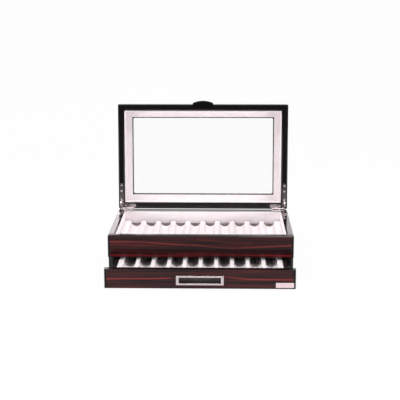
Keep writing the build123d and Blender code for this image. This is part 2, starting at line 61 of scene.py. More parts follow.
def makeCamera(given):
    data = bpy.data.cameras.new("camera")
    data.lens = given["lens"]
    data.sensor_width = given["sensor"]
    data.clip_end = 60.0
    camera = bpy.data.objects.new("camera", data)
    scene.collection.objects.link(camera)
    down, turn, roll = given["down"], given["turn"], given["roll"]
    ahead = Vector((sin(turn) * cos(down), cos(turn) * cos(down), -sin(down)))
    level = Vector((cos(turn), -sin(turn), 0.0))
    upward = level.cross(ahead)
    right = cos(roll) * level + sin(roll) * upward
    up = -sin(roll) * level + cos(roll) * upward
    turned = Matrix((right, up, -ahead)).transposed().to_4x4()
    camera.matrix_world = Matrix.Translation(given["place"]) @ turned
    scene.camera = camera


makeCamera(cameraSet)


# small helpers
def linear(code):
    # sRGB hex to linear colour
    channels = [int(code[i : i + 2], 16) / 255 for i in (1, 3, 5)]
    return (*[c / 12.92 if c <= 0.04045 else ((c + 0.055) / 1.055) ** 2.4 for c in channels], 1.0)


def addNode(tree, kind, links=None, **settings):
    # one node with its settings and its inputs, each a value or another node's output
    node = tree.nodes.new(kind)
    for name, value in settings.items():
        if name == "stops":  # colours along a ramp
            for _ in value[2:]:
                node.color_ramp.elements.new(1.0)
            for element, (at, code) in zip(node.color_ramp.elements, value):
                element.position, element.color = at, linear(code)
        elif name == "line":  # points of a smooth curve
            points = node.mapping.curves[0].points
            for _ in value[2:]:
                points.new(0.5, 0.5)
            for point, at in zip(points, value):
                point.location, point.handle_type = at, "AUTO_CLAMPED"
            node.mapping.extend = "HORIZONTAL"
            node.mapping.update()
        else:
            setattr(node, name, value)
    for socket, value in (links or {}).items():
        if isinstance(value, bpy.types.NodeSocket):
            tree.links.new(value, node.inputs[socket])
        else:
            node.inputs[socket].default_value = value
    return node.outputs


def startMaterial(name):
    material = bpy.data.materials.new(name)
    material.use_nodes = True
    tree = material.node_tree
    tree.nodes.clear()
    return material, tree, addNode(tree, "ShaderNodeTexCoord")["Object"]


def endMaterial(material, inputs):
    shader = addNode(material.node_tree, "ShaderNodeBsdfPrincipled", inputs)
    addNode(material.node_tree, "ShaderNodeOutputMaterial", {0: shader[0]})
    return material


# materials
# Macassar ebony veneer with level grain under thick polished lacquer:
# near-black brown with rust-red stripes that drift a little, and a mirror-like top coat.
veneerLook = {
    "tones": [(0.44, "#190D10"), (0.60, "#311A1D"), (0.80, "#56231F")],
    "black": "#0F0C0D",  # lacquer at the corners
    "fineMm": 1.1,  # spacing of the fine grain lines
    "bandMm": 5.5,  # spacing of the broad stripes
    "drawnOutMm": 170.0,  # length over which a stripe changes
    "driftMm": 3.0,  # how far a grain line strays from level
    "broadShare": 0.8,
    "fineShare": 0.4,
    "patchy": 0.55,  # strength of a named stripe where the fine grain breaks it up
    "core": 0.35,  # share of a named stripe's half width that has its full colour
    "edgeX": 170.6,  # the veneer ends here, the corners are black
    "halfW": 175.0,
    "rough": 0.35,
    "specular": 0.1,
    "coat": 0.25,
    "coatRough": 0.05,
}


def facingFront(tree, full, none):
    # 1 on faces that look to the front, fading out between two values of the normal's Y
    facing = addNode(tree, "ShaderNodeSeparateXYZ", {0: addNode(tree, "ShaderNodeTexCoord")["Normal"]})
    mask = {"Value": facing[1], "From Min": full, "From Max": none, "To Min": 1.0, "To Max": 0.0}
    return addNode(tree, "ShaderNodeMapRange", mask)[0]


def makeVeneer(name, given, stripes, low, high, seed):
    material, tree, place = startMaterial(name)
    parts = addNode(tree, "ShaderNodeSeparateXYZ", {0: place})
    # no grain line is quite level
    slow = {"Vector": place, "Scale": (9.0, 1.0, 2.0), "Location": (seed, 0.0, 0.0)}
    slow = addNode(tree, "ShaderNodeMapping", slow)
    drift = addNode(tree, "ShaderNodeTexNoise", {"Vector": slow[0], "Scale": 1.0, "Detail": 2.0})
    reach = given["driftMm"] * mm
    lift = addNode(tree, "ShaderNodeMath", {0: drift[0], 1: reach, 2: -reach / 2}, operation="MULTIPLY_ADD")
    height = addNode(tree, "ShaderNodeMath", {0: parts[2], 1: lift[0]}, operation="ADD")[0]
    warped = addNode(tree, "ShaderNodeCombineXYZ", {0: parts[0], 2: height})
    # broad stripes, then fine grain, both drawn out along the panel
    along = 1000.0 / given["drawnOutMm"]
    grain = []
    for stretch, shift, detail in (
        ((along, 1.0, 1000.0 / given["bandMm"]), (seed, 3.0, 0.0), 3.0),
        ((along * 2.5, 1.0, 1000.0 / given["fineMm"]), (0.0, seed, 1.0), 2.0),
    ):
        drawn = {"Vector": warped[0], "Scale": stretch, "Location": shift}
        drawn = addNode(tree, "ShaderNodeMapping", drawn)
        noise = {"Vector": drawn[0], "Scale": 1.0, "Detail": detail}
        grain.append(addNode(tree, "ShaderNodeTexNoise", noise)[0])
    broad, fine = grain
    tone = addNode(tree, "ShaderNodeMath", {0: broad, 1: given["broadShare"]}, operation="MULTIPLY")
    tone = {0: fine, 1: given["fineShare"], 2: tone[0]}
    tone = addNode(tree, "ShaderNodeMath", tone, operation="MULTIPLY_ADD")
    colour = addNode(tree, "ShaderNodeValToRGB", {0: tone[0]}, stops=given["tones"])[0]
    halfW = given["halfW"]
    across = {"Value": parts[0], "From Min": -halfW * mm, "From Max": halfW * mm}
    across = addNode(tree, "ShaderNodeMapRange", across)
    patch = {"Value": fine, "From Min": 0.30, "From Max": 0.60, "To Min": given["patchy"]}
    patch = addNode(tree, "ShaderNodeMapRange", patch)
    for stripe in stripes:
        line = [((x + halfW) / (2 * halfW), (z - low) / (high - low)) for x, z in stripe["line"]]
        line = addNode(tree, "ShaderNodeFloatCurve", {"Value": across[0]}, line=line)
        level = {0: line[0], 1: (high - low) * mm, 2: low * mm}
        level = addNode(tree, "ShaderNodeMath", level, operation="MULTIPLY_ADD")
        off = addNode(tree, "ShaderNodeMath", {0: height, 1: level[0]}, operation="SUBTRACT")
        off = addNode(tree, "ShaderNodeMath", {0: off[0]}, operation="ABSOLUTE")
        wide = stripe["wide"]
        near = {"Value": off[0], "From Min": wide * given["core"] * mm, "From Max": wide * mm}
        near.update({"To Min": 1.0, "To Max": 0.0})
        near = addNode(tree, "ShaderNodeMapRange", near, interpolation_type="SMOOTHSTEP")
        share = [((x + halfW) / (2 * halfW), value) for x, value in stripe["share"]]
        share = addNode(tree, "ShaderNodeFloatCurve", {"Value": across[0]}, line=share)
        share = addNode(tree, "ShaderNodeMath", {0: near[0], 1: share[0]}, operation="MULTIPLY")
        share = addNode(tree, "ShaderNodeMath", {0: share[0], 1: patch[0]}, operation="MULTIPLY")
        both = {0: share[0], 6: colour, 7: linear(stripe["colour"])}
        colour = addNode(tree, "ShaderNodeMix", both, data_type="RGBA")[2]
    # the veneer stops short of the corners and of the rim, which are black lacquer
    front = facingFront(tree, -0.9, -0.6)
    side = addNode(tree, "ShaderNodeMath", {0: parts[0]}, operation="ABSOLUTE")
    edge = given["edgeX"]
    inside = {"Value": side[0], "From Min": (edge - 0.5) * mm, "From Max": (edge + 0.5) * mm}
    inside = addNode(tree, "ShaderNodeMapRange", {**inside, "To Min": 1.0, "To Max": 0.0})
    inside = addNode(tree, "ShaderNodeMath", {0: front, 1: inside[0]}, operation="MULTIPLY")
    both = {0: inside[0], 6: linear(given["black"]), 7: colour}
    colour = addNode(tree, "ShaderNodeMix", both, data_type="RGBA")[2]
    wave = addNode(tree, "ShaderNodeTexNoise", {"Vector": place, "Scale": 160.0, "Detail": 2.0})
    bump = addNode(tree, "ShaderNodeBump", {"Height": wave[0], "Strength": 0.05, "Distance": 0.2 * mm})
    looks = {
        "Base Color": colour,
        "Roughness": given["rough"],
        "Specular IOR Level": given["specular"],
        "Coat Weight": given["coat"],
        "Coat Roughness": given["coatRough"],
        "Coat Normal": bump[0],
    }
    return endMaterial(material, looks)


# Piano-black polyester lacquer, sprayed and buffed: deep black, sharp reflections,
# the faintest waviness left by the buffing wheel, a few finer hairlines in the gloss.
def makeLacquer(name, tone="#141213", dull=0.07, boardToneWithPaintedShade=None):
    material, tree, place = startMaterial(name)
    cloud = addNode(tree, "ShaderNodeTexNoise", {"Vector": place, "Scale": 22.0, "Detail": 3.0})
    colour = {0: cloud[0], 6: linear(tone), 7: linear("#1A1718")}
    colour = addNode(tree, "ShaderNodeMix", colour, data_type="RGBA")
    drawn = addNode(tree, "ShaderNodeMapping", {"Vector": place, "Scale": (40.0, 900.0, 900.0)})
    hair = addNode(tree, "ShaderNodeTexNoise", {"Vector": drawn[0], "Scale": 1.0, "Detail": 2.0})
    rough = {"Value": hair[0], "From Min": 0.45, "From Max": 0.8, "To Min": dull, "To Max": dull + 0.08}
    rough = addNode(tree, "ShaderNodeMapRange", rough)
    wave = addNode(tree, "ShaderNodeTexNoise", {"Vector": place, "Scale": 140.0, "Detail": 2.0})
    bump = addNode(tree, "ShaderNodeBump", {"Height": wave[0], "Strength": 0.06, "Distance": 0.2 * mm})
    looks = {"Base Color": colour[2], "Specular IOR Level": 0.4, "Roughness": rough[0], "Normal": bump[0]}
    if boardToneWithPaintedShade:  # the inner face is a raw-board tone, darker than the velvet; where it shows in the gap below the back lining it is painted shade for the dark ends of the grooves
        inward = facingFront(tree, -0.99, -0.95)
        both = {0: inward, 6: colour[2], 7: linear(boardToneWithPaintedShade)}
        looks["Base Color"] = addNode(tree, "ShaderNodeMix", both, data_type="RGBA")[2]
        dry = {"Value": inward, "To Min": dull, "To Max": 0.7}
        looks["Roughness"] = addNode(tree, "ShaderNodeMapRange", dry)[0]
    return endMaterial(material, looks)


# Black-stained hardwood inside the chest: thin satin finish with open grain along the boards.
def makeStainedWood(name, grainAxis):
    material, tree, place = startMaterial(name)
    stretch = [420.0, 420.0, 420.0]
    stretch[grainAxis] = 14.0
    drawn = addNode(tree, "ShaderNodeMapping", {"Vector": place, "Scale": stretch})
    grain = {"Vector": drawn[0], "Scale": 1.0, "Detail": 4.0, "Roughness": 0.6}
    grain = addNode(tree, "ShaderNodeTexNoise", grain)
    colour = addNode(tree, "ShaderNodeValToRGB", {0: grain[0]}, stops=[(0.35, "#0A0909"), (0.7, "#1A1616")])
    rough = {"Value": grain[0], "From Min": 0.3, "From Max": 0.7, "To Min": 0.52, "To Max": 0.36}
    rough = addNode(tree, "ShaderNodeMapRange", rough)
    bump = addNode(tree, "ShaderNodeBump", {"Height": grain[0], "Strength": 0.25, "Distance": 0.15 * mm})
    return endMaterial(material, {"Base Color": colour[0], "Roughness": rough[0], "Normal": bump[0]})


# Ivory flocked velvet over foam and card: matt, slightly pink in the shade, with a soft bright
# edge where the pile is seen from the side and faint patches where it has been brushed over.
def makeVelvet(name, pale="#FBF8F9", shade="#F5EEF0", pileMm=0.55):
    material, tree, place = startMaterial(name)
    brushed = {"Vector": place, "Scale": 38.0, "Detail": 4.0, "Roughness": 0.6, "Distortion": 0.6}
    brushed = addNode(tree, "ShaderNodeTexNoise", brushed)
    pile = {"Vector": place, "Scale": 1000.0 / pileMm, "Detail": 2.0, "Roughness": 0.7}
    pile = addNode(tree, "ShaderNodeTexNoise", pile)
    tone = addNode(tree, "ShaderNodeMath", {0: brushed[0], 1: 0.75}, operation="MULTIPLY")
    tone = addNode(tree, "ShaderNodeMath", {0: pile[0], 1: 0.25, 2: tone[0]}, operation="MULTIPLY_ADD")
    colour = addNode(tree, "ShaderNodeValToRGB", {0: tone[0]}, stops=[(0.32, shade), (0.62, pale)])
    height = addNode(tree, "ShaderNodeMath", {0: brushed[0], 1: 1.6, 2: pile[0]}, operation="MULTIPLY_ADD")
    bump = addNode(tree, "ShaderNodeBump", {"Height": height[0], "Strength": 0.35, "Distance": 0.22 * mm})
    looks = {
        "Base Color": colour[0],
        "Roughness": 0.92,
        "Specular IOR Level": 0.15,
        "Sheen Weight": 0.1,
        "Sheen Roughness": 0.45,
        "Normal": bump[0],
    }
    return endMaterial(material, looks)


# Black pressed wool felt on the underside: flat matt, short loose fibres.
def makeFelt(name):
    material, tree, place = startMaterial(name)
    fibre = {"Vector": place, "Scale": 900.0, "Detail": 4.0, "Roughness": 0.75, "Distortion": 1.2}
    fibre = addNode(tree, "ShaderNodeTexNoise", fibre)
    colour = {0: fibre[0], 6: linear("#0C0B0C"), 7: linear("#2A2627")}
    colour = addNode(tree, "ShaderNodeMix", colour, data_type="RGBA")
    bump = addNode(tree, "ShaderNodeBump", {"Height": fibre[0], "Strength": 0.6, "Distance": 0.4 * mm})
    looks = {"Base Color": colour[2], "Roughness": 0.97, "Sheen Weight": 0.25, "Normal": bump[0]}
    return endMaterial(material, {**looks, "Sheen Roughness": 0.6})


# Bright nickel plate on pressed steel: mirror gloss softened by fine polishing lines,
# a little greyer where it is worn. A higher dull gives brushed satin nickel.
def makeNickel(name, tone="#DCD0D2", dull=0.2, lineAxis=0, worn="#CBBFC1"):
    material, tree, place = startMaterial(name)
    stretch = [2600.0, 2600.0, 2600.0]
    stretch[lineAxis] = 60.0
    drawn = addNode(tree, "ShaderNodeMapping", {"Vector": place, "Scale": stretch})
    lines = addNode(tree, "ShaderNodeTexNoise", {"Vector": drawn[0], "Scale": 1.0, "Detail": 2.0})
    soft = addNode(tree, "ShaderNodeTexNoise", {"Vector": place, "Scale": 60.0, "Detail": 2.0})
    colour = {0: soft[0], 6: linear(tone), 7: linear(worn)}
    colour = addNode(tree, "ShaderNodeMix", colour, data_type="RGBA")
    rough = {"Value": lines[0], "From Min": 0.3, "From Max": 0.7}
    rough = addNode(tree, "ShaderNodeMapRange", {**rough, "To Min": dull - 0.05, "To Max": dull + 0.07})
    bump = addNode(tree, "ShaderNodeBump", {"Height": lines[0], "Strength": 0.03, "Distance": 0.05 * mm})
    looks = {"Base Color": colour[2], "Metallic": 1.0, "Roughness": rough[0], "Normal": bump[0]}
    return endMaterial(material, looks)


# Black powder-coated steel cup behind the pull: satin, with a fine pebbled skin.
def makeCoatedSteel(name, tone="#454340", light="#514F4A"):
    material, tree, place = startMaterial(name)
    pebble = addNode(tree, "ShaderNodeTexNoise", {"Vector": place, "Scale": 1800.0, "Detail": 2.0})
    colour = {0: pebble[0], 6: linear(tone), 7: linear(light)}
    colour = addNode(tree, "ShaderNodeMix", colour, data_type="RGBA")
    bump = addNode(tree, "ShaderNodeBump", {"Height": pebble[0], "Strength": 0.3, "Distance": 0.1 * mm})
    return endMaterial(material, {"Base Color": colour[2], "Roughness": 0.48, "Normal": bump[0]})


# Clear polished float glass: no tint, a trace of dust in places.
def makeGlass(name):
    material, tree, place = startMaterial(name)
    dust = addNode(tree, "ShaderNodeTexNoise", {"Vector": place, "Scale": 45.0, "Detail": 4.0})
    rough = {"Value": dust[0], "From Min": 0.55, "From Max": 0.9, "To Min": 0.0, "To Max": 0.012}
    rough = addNode(tree, "ShaderNodeMapRange", rough)
    looks = {
        "Base Color": linear("#FFFFFF"),
        "Transmission Weight": 1.0,
        "IOR": 1.45,
        "Specular IOR Level": 0.1,
        "Roughness": rough[0],
    }
    return endMaterial(material, looks)


# stripes that the panels are known by: lines in mm from the middle and above the table, with the
# stripe's strength along the panel and its half width
upperStripes = [
    {
        "line": [(-170, 57), (-60, 56), (40, 54), (100, 54), (170, 57)],
        "share": [(-170, 0.5), (-80, 0.8), (100, 0.8), (170, 0.4)],
        "wide": 6.5,
        "colour": "#1E1314",
    },
    {
        "line": [(-5, 75.5), (30, 73), (60, 70), (90, 69)],
        "share": [(-12, 0.0), (10, 0.6), (85, 0.6), (100, 0.0)],
        "wide": 2.4,
        "colour": "#5A2421",
    },
    {
        "line": [(-170, 66.2), (-125, 65.6), (-100, 64.8), (-60, 63.0)],
        "share": [(-170, 0.8), (-125, 0.75), (-60, 0.3), (-40, 0.0)],
        "wide": 1.5,
        "colour": "#68241F",
    },
    {
        "line": [
            *[(-170, 71.6), (-106, 71), (-50, 67.4), (0, 64.5), (40, 61)],
            *[(60, 60), (94, 61.6), (150, 64.9), (171, 65.8)],
        ],
        "share": [(-170, 0.95), (-106, 0.8), (0, 0.65), (30, 0.4), (70, 0.5), (127, 0.85), (171, 1.0)],
        "wide": 2.3,
        "colour": "#7C2F2C",
    },
    {
        "line": [(-170, 53.3), (0, 53.0)],
        "share": [(-168, 0.6), (-100, 0.45), (-80, 0.0)],
        "wide": 1.2,
        "colour": "#451A1A",
    },
    {
        "line": [(-170, 46.0), (0, 46.4), (170, 46.2)],
        "share": [(-165, 1.0), (-120, 0.75), (0, 0.5), (80, 0.6), (115, 0.95), (171, 1.0)],
        "wide": 2.0,
        "colour": "#761C20",
    },
]
drawerStripes = [
    {
        "line": [(-170, 20.1), (-100, 20.4), (-61, 21.0), (-45, 21.3)],
        "share": [(-171, 1.0), (-80, 0.95), (-61, 0.8), (-46, 0.2), (-38, 0.0)],
        "wide": 2.1,
        "colour": "#8E3533",
    },
    {
        "line": [(43, 24.7), (60, 23.0), (77, 20.9), (93, 19.9), (173, 19.8)],
        "share": [(36, 0.0), (45, 0.5), (70, 0.7), (93, 0.95), (173, 1.0)],
        "wide": 2.1,
        "colour": "#8A3331",
    },
    {
        "line": [(50, 8.4), (90, 8.0), (130, 6.0)],
        "share": [(46, 0.0), (58, 0.6), (90, 0.6), (140, 0.1)],
        "wide": 1.5,
        "colour": "#6A2A2C",
    },
    {
        "line": [(-170, 29.5), (-60, 28.5), (60, 30.0), (170, 30.5)],
        "share": [(-170, 0.25), (-60, 0.4), (60, 0.35), (170, 0.4)],
        "wide": 3.5,
        "colour": "#45201F",
    },
]
# the upper panel's veneer is a little redder
redder = {**veneerLook, "tones": [(0.44, "#170609"), (0.60, "#300F13"), (0.80, "#561815")]}
veneerUpper = makeVeneer("macassarVeneerUpper", redder, upperStripes, 40.0, 85.0, 2.3)
veneerDrawer = makeVeneer("macassarVeneerDrawer", veneerLook, drawerStripes, 0.0, 40.0, 7.1)
lacquer = makeLacquer("blackPianoLacquer")
# back panel: the inner face's pale grey-pink is painted shade where it shows in the gap behind the upper tray
lacquerBack = makeLacquer("blackPianoLacquerBack", boardToneWithPaintedShade="#C6B8B7")
tabLacquer = makeLacquer("blackPianoLacquerTab", "#070607", 0.16)
stainedAlong = makeStainedWood("blackStainedWoodAlong", 1)
stainedAcross = makeStainedWood("blackStainedWoodAcross", 0)
velvet = makeVelvet("ivoryVelvet")
felt = makeFelt("blackWoolFelt")
nickel = makeNickel("polishedNickelPlate", "#EDE4E5", 0.14)
# the screws' nickel has a rougher satin finish than the leaves', and a paler tone that is a painted highlight
# for the domed heads
nickelScrewPaintedHighlight = makeNickel("paleNickelScrewPaintedHighlight", "#F6EEEF", 0.34)
nickelDark = makeNickel("polishedNickelPin", "#BFB4B6", 0.26)
nickelPull = makeNickel("polishedNickelPull", "#D8C8CB", 0.18)
coatedSteel = makeCoatedSteel("blackCoatedSteel")
glass = makeGlass("clearFloatGlass")
print("materials made")

finishOf = {
    veneerUpper: ["front_panel"],
    veneerDrawer: ["drawer_front"],
    lacquer: [
        "left_side_panel",
        "right_side_panel",
        "lid_front_rail",
        "lid_back_rail",
        "lid_left_rail",
        "lid_right_rail",
        "lid_top_frame",
    ],
    lacquerBack: ["back_panel"],
    tabLacquer: ["lift_tab"],
    stainedAlong: ["drawer_runners", "drawer_left_side", "drawer_right_side"],
    stainedAcross: ["bottom_panel", "shelf_panel", "drawer_stop", "drawer_floor", "drawer_back"],
    nickel: [
        "left_base_leaf",
        "right_base_leaf",
        "left_lid_leaf",
        "right_lid_leaf",
        "left_stay",
        "right_stay",
    ],
    nickelDark: ["left_hinge_pin", "right_hinge_pin", "pull_screws"],
    nickelPull: ["pull_frame"],
    coatedSteel: ["pull_cup"],
    glass: ["window_pane"],
}
for material, names in finishOf.items():
    for name in names:
        for place in nodes[name].material_slots:
            place.material = material
print("frame pieces finished")


# the lid's turning line and its angle in the photograph, as the joint has them
hinge = Vector((0.0, 0.1082, 0.08465))
lidOpen = radians(-94.7)
lidTurn = Matrix.Translation(hinge) @ Matrix.Rotation(lidOpen, 4, "X") @ Matrix.Translation(-hinge)
weld = 0.00001  # points closer than this, in metres, are one


def meshOf(name, work):
    mesh = bpy.data.meshes.new(name)
    work.to_mesh(mesh)
    work.free()
    return mesh


def newPiece(name, mesh, body, material, replaced=()):
    piece = bpy.data.objects.new(name, mesh)
    scene.collection.objects.link(piece)
    if not mesh.materials:
        mesh.materials.append(material)
    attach(piece, body)
    if replaced:
        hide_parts(*replaced)
    return piece


def finishMesh(mesh, angle):
    # merged, outward and smooth up to the given angle in degrees
    work = bmesh.new()
    work.from_mesh(mesh)
    bmesh.ops.remove_doubles(work, verts=work.verts, dist=weld)
    bmesh.ops.recalc_face_normals(work, faces=work.faces)
    for face in work.faces:
        face.smooth = True
    for edge in work.edges:
        if len(edge.link_faces) == 2:
            edge.smooth = edge.calc_face_angle(0.0) < radians(angle)
    work.to_mesh(mesh)
    work.free()
    mesh.update()
    return mesh


# covered boards: card or wood wrapped in velvet, with soft edges
coverSet = {"edgeMm": 0.7, "steps": 3, "sharp": 40.0}  # edges sharper than this, in degrees, are rounded
feltSet = {"edgeMm": 0.4, "steps": 2, "sharp": 40.0}


def softCopy(node, name, body, material, given):
    work = bmesh.new()
    work.from_mesh(nodes[node].data)
    bmesh.ops.remove_doubles(work, verts=work.verts, dist=weld)
    bmesh.ops.dissolve_limit(work, angle_limit=radians(1.0), verts=work.verts, edges=work.edges)
    least = radians(given["sharp"])
    sharp = [e for e in work.edges if len(e.link_faces) == 2 and e.calc_face_angle(0.0) > least]
    bmesh.ops.bevel(
        work,
        geom=sharp,
        offset=given["edgeMm"] * mm,
        segments=given["steps"],
        profile=0.5,
        affect="EDGES",
        clamp_overlap=True,
    )
    newPiece(name, finishMesh(meshOf(name, work), 50.0), body, material, [node])


for node, name, body in (
    ("upper_lining_front", "upperLiningFront", "cabinet"),
    ("upper_lining_back", "upperLiningBack", "cabinet"),
    ("upper_lining_left", "upperLiningLeft", "cabinet"),
    ("upper_lining_right", "upperLiningRight", "cabinet"),
    ("lid_lining_front", "lidLiningFront", "lid"),
    ("lid_lining_back", "lidLiningBack", "lid"),
    ("lid_lining_left", "lidLiningLeft", "lid"),
    ("lid_lining_right", "lidLiningRight", "lid"),
    ("window_border", "windowBorder", "lid"),
):
    softCopy(node, name, body, velvet, coverSet)
softCopy("felt_base", "feltBase", "cabinet", felt, feltSet)
print("covered boards made")


# pen trays: foam block with ten grooves, wrapped in one velvet skin
upperTraySet = {
    "pens": 10,
    "pitch": 30.4,
    "radius": 10.4,  # of a groove
    "deep": 11.2,
    "ridge": 2.6,  # radius at the top of a ridge
    "edge": 1.6,  # radius round the outside of the block
    "rows": 22,
    "uneven": (0.12, 0.1),  # how far the skin lies below its line, and how much that varies
}
drawerTraySet = {**upperTraySet, "pitch": 29.5, "radius": 11.4, "deep": 14.6, "ridge": 2.2, "edge": 1.4}
ridgeSteps, grooveSteps, edgeSteps = 6, 12, 4


def grooveProfile(given, inward):
    # half a pitch each side of a groove's middle, pulled in by the given amount, top of a ridge at 0
    radius, ridge = given["radius"] + inward, given["ridge"] - inward
    rise = given["radius"] - given["deep"] + given["ridge"]
    reach = sqrt((given["radius"] + given["ridge"]) ** 2 - rise**2)
    lean = atan2(rise, reach)
    half = given["pitch"] / 2
    points = [(half - (half - reach) * i / 2, -inward) for i in range(2)]
    for i in range(ridgeSteps + 1):
        a = pi / 2 + (pi / 2 - lean) * i / ridgeSteps
        points.append((reach + ridge * cos(a), -given["ridge"] + ridge * sin(a)))
    for i in range(1, grooveSteps + 1):
        a = -lean - (pi / 2 - lean) * i / grooveSteps
        points.append((radius * cos(a), given["radius"] - given["deep"] + radius * sin(a)))
    return [(-x, z) for x, z in points[:-1]] + points[::-1]


def trayRings(given, front, length):
    # (place along the tray, how far the skin is pulled in)
    edge, rings = given["edge"], []
    for i in range(edgeSteps + 1):
        a = pi / 2 * i / edgeSteps
        rings.append((front + edge - edge * cos(a), edge - edge * sin(a)))
    for i in range(1, given["rows"]):
        rings.append((front + edge + (length - 2 * edge) * i / given["rows"], 0.0))
    for i in range(edgeSteps + 1):
        a = pi / 2 * i / edgeSteps
        rings.append((front + length - edge + edge * sin(a), edge - edge * cos(a)))
    return rings


def skinBetween(work, rings, profiles, floorZ):
    # closed skin along the rings, open at its two sides
    tops, lows = [], []
    for (y, inward), profile in zip(rings, profiles):
        tops.append([work.verts.new((x * mm, y * mm, z * mm)) for x, z in profile])
        lows.append([work.verts.new((x * mm, y * mm, floorZ * mm)) for x, z in profile])
    for k in range(len(rings) - 1):
        for i in range(len(tops[0]) - 1):
            work.faces.new((tops[k][i], tops[k][i + 1], tops[k + 1][i + 1], tops[k + 1][i]))
            work.faces.new((lows[k][i], lows[k + 1][i], lows[k + 1][i + 1], lows[k][i + 1]))
    for k, flip in ((0, False), (len(rings) - 1, True)):
        for i in range(len(tops[0]) - 1):
            quad = [tops[k][i], lows[k][i], lows[k][i + 1], tops[k][i + 1]]
            work.faces.new(quad[::-1] if flip else quad)


def startTree(name, inputs, output):
    # a geometry tree with named inputs, each with its kind of socket, and one output
    tree = bpy.data.node_groups.new(name, "GeometryNodeTree")
    for label, kind in inputs.items():
        tree.interface.new_socket(label, in_out="INPUT", socket_type="NodeSocket" + kind)
    tree.interface.new_socket(output, in_out="OUTPUT", socket_type="NodeSocketGeometry")
    return tree, addNode(tree, "NodeGroupInput")


def rowTree(name):
    # repeats the groove strip along X and joins the side strips to the row
    inputs = {"Side Strips": "Geometry", "Groove Strip": "Object", "Grooves": "Int", "Pitch": "Float"}
    tree, given = startTree(name, {**inputs, "Cover": "Material"}, "Tray")
    strip = addNode(tree, "GeometryNodeObjectInfo", {"Object": given["Groove Strip"]})
    gaps = addNode(tree, "ShaderNodeMath", {0: given["Grooves"], 1: 1.0}, operation="SUBTRACT")
    half = addNode(tree, "ShaderNodeMath", {0: gaps[0], 1: -0.5}, operation="MULTIPLY")
    first = addNode(tree, "ShaderNodeMath", {0: half[0], 1: given["Pitch"]}, operation="MULTIPLY")
    start = addNode(tree, "ShaderNodeCombineXYZ", {0: first[0]})
    step = addNode(tree, "ShaderNodeCombineXYZ", {0: given["Pitch"]})
    line = {"Count": given["Grooves"], "Start Location": start[0], "Offset": step[0]}
    line = addNode(tree, "GeometryNodeMeshLine", line, mode="OFFSET")
    row = {"Points": line[0], "Instance": strip["Geometry"]}
    row = addNode(tree, "GeometryNodeInstanceOnPoints", row)
    whole = addNode(tree, "GeometryNodeJoinGeometry", {0: row[0]})
    tree.links.new(given["Side Strips"], whole[0].node.inputs[0])
    real = addNode(tree, "GeometryNodeRealizeInstances", {0: whole[0]})
    covered = addNode(tree, "GeometryNodeSetMaterial", {"Geometry": real[0], "Material": given["Cover"]})
    addNode(tree, "NodeGroupOutput", {0: covered[0]})
    return tree


def holderOf(name, work):
    # a helper object for a tree to work on or to repeat
    holder = bpy.data.objects.new(name, meshOf(name, work))
    scene.collection.objects.link(holder)
    return holder


def grown(holder, name, tree, values):
    # the tree's result as a plain mesh, and the helper object removed
    modifier = holder.modifiers.new("grown", "NODES")
    modifier.node_group = tree
    for item in tree.interface.items_tree:
        if item.in_out == "INPUT" and item.name in values:
            modifier[item.identifier] = values[item.name]
    bpy.context.view_layer.update()
    ready = holder.evaluated_get(bpy.context.evaluated_depsgraph_get())
    mesh = bpy.data.meshes.new_from_object(ready)
    mesh.name = name
    holder.modifiers.clear()
    bpy.data.objects.remove(holder)
    return mesh


def makeTray(name, node, body, given, tree):
    low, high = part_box(node)
    front, length = low.y / mm, (high.y - low.y) / mm
    top, height, halfWidth = high.z / mm, (high.z - low.z) / mm, (high.x - low.x) / 2 / mm
    rings = trayRings(given, front, length)
    work = bmesh.new()
    skinBetween(work, rings, [grooveProfile(given, inward) for _, inward in rings], -height)
    strip = holderOf(name + "Strip", work)

    # from the outermost grooves to the ends of the block
    work = bmesh.new()
    inner, edge = given["pens"] * given["pitch"] / 2, given["edge"]
    profiles = []
    for _, inward in rings:
        corner = [pi / 2 * i / edgeSteps for i in range(edgeSteps + 1)]
        r = edge - inward
        outer = [(halfWidth - edge + r * sin(a), -edge + r * cos(a)) for a in corner]
        profiles.append([(inner, -inward)] + outer + [(halfWidth - inward, -height)])
    for side in (1, -1):
        shaped = [[(side * x, z) for x, z in profile] for profile in profiles]
        skinBetween(work, rings, shaped, -height)
    values = {"Groove Strip": strip, "Grooves": given["pens"], "Pitch": given["pitch"] * mm, "Cover": velvet}
    mesh = grown(holderOf(name + "Sides", work), name, tree, values)
    bpy.data.objects.remove(strip)
    mesh.transform(Matrix.Translation((0.0, 0.0, top * mm)))

    work = bmesh.new()
    work.from_mesh(mesh)
    bmesh.ops.remove_doubles(work, verts=work.verts, dist=2 * weld)
    bmesh.ops.dissolve_degenerate(work, edges=work.edges, dist=weld)
    sink, vary = given["uneven"]
    for vert in work.verts:  # foam under velvet is never quite even
        if vert.co.z > (top - height + 1.0) * mm:
            x, y = vert.co.x / mm, vert.co.y / mm
            sway = sin(x * 0.11 + 1.3) * sin(y * 0.043 + x * 0.021) + 0.5 * sin(y * 0.09 + x * 0.37)
            vert.co.z -= (sink + vary * sway) * mm
    work.to_mesh(mesh)
    work.free()
    piece = newPiece(name, finishMesh(mesh, 60.0), body, velvet, [node])


trayTree = rowTree("grooveRow")
makeTray("upperPenTray", "upper_pen_tray", "cabinet", upperTraySet, trayTree)
makeTray("drawerPenTray", "drawer_pen_tray", "drawer", drawerTraySet, trayTree)
print("pen trays made")


# hinge screws: raised countersunk heads with a cross recess
screwSet = {
    "headR": 2.25,
    "dome": 0.28,
    "crossL": 2.5,
    "crossW": 0.62,
    "crossDeep": 0.5,
    "crossRamp": 0.35,  # length of the slope at each end of the cross
    "crossMid": 0.15,  # how much deeper the cross is at its middle
    "lip": 0.15,  # straight edge between the dome and the countersink
    "shankR": 1.1,
    "length": 9.0,
    "tipL": 1.6,
    "count": 32,  # points round the head
    "rings": 9,
    "marks": [(168.5, -37.0), (168.5, -49.0), (159.4, -6.5), (144.0, -6.5)],  # from the hinge line
}


